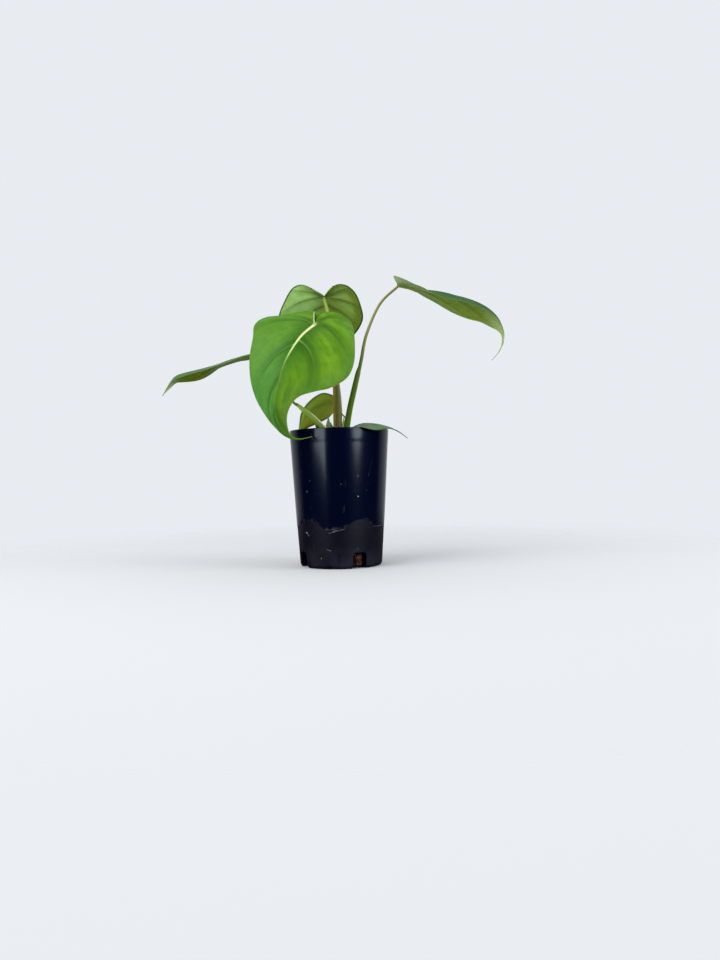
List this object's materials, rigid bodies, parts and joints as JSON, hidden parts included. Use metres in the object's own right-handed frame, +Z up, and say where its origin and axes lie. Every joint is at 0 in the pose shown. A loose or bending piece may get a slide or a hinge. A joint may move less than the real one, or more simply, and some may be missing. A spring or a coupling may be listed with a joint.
{
  "type": "potted dean mcdowell philodendron",
  "caption": "Young upright philodendron with large heart-shaped leaves on slender stalks, growing in a tall tapered plastic nursery pot filled with coir mix.",
  "frame": {"origin": "middle of the pot's flat underside, on the surface it stands on", "axes": "+Z up along the pot's axis; +X towards the leaf that reaches furthest to the right as the plant is pictured, the long way of the plant; the camera looks along +Y"},
  "size_m": [0.2603, 0.1076, 0.2164],
  "materials": {
    "pot_plastic": "blue-black, glossy above the step and dull below it",
    "potting_mix": "loose brown coir with pale crumbs",
    "crown_rind": "dull rind with old leaf scars",
    "mauve_stalk": "satin",
    "green_stalk": "satin",
    "leaf_green": "satin upper face, duller underside",
    "young_leaf": "satin, thin enough to let light through",
    "dark_leaf": "satin",
    "scale_skin": "dull"
  },
  "bodies": {
    "root": {"pot": "pot_plastic", "potting_mix": "potting_mix", "crown": "crown_rind", "front_stalk": "mauve_stalk", "front_blade": "leaf_green", "back_stalk": "mauve_stalk", "back_blade": "leaf_green", "right_stalk": "green_stalk", "right_blade": "leaf_green", "left_stalk": "green_stalk", "left_blade": "leaf_green", "small_stalk": "green_stalk", "small_blade": "young_leaf", "rim_stalk": "green_stalk", "rim_blade": "dark_leaf", "dry_scale": "scale_skin"}
  },
  "joints": []
}
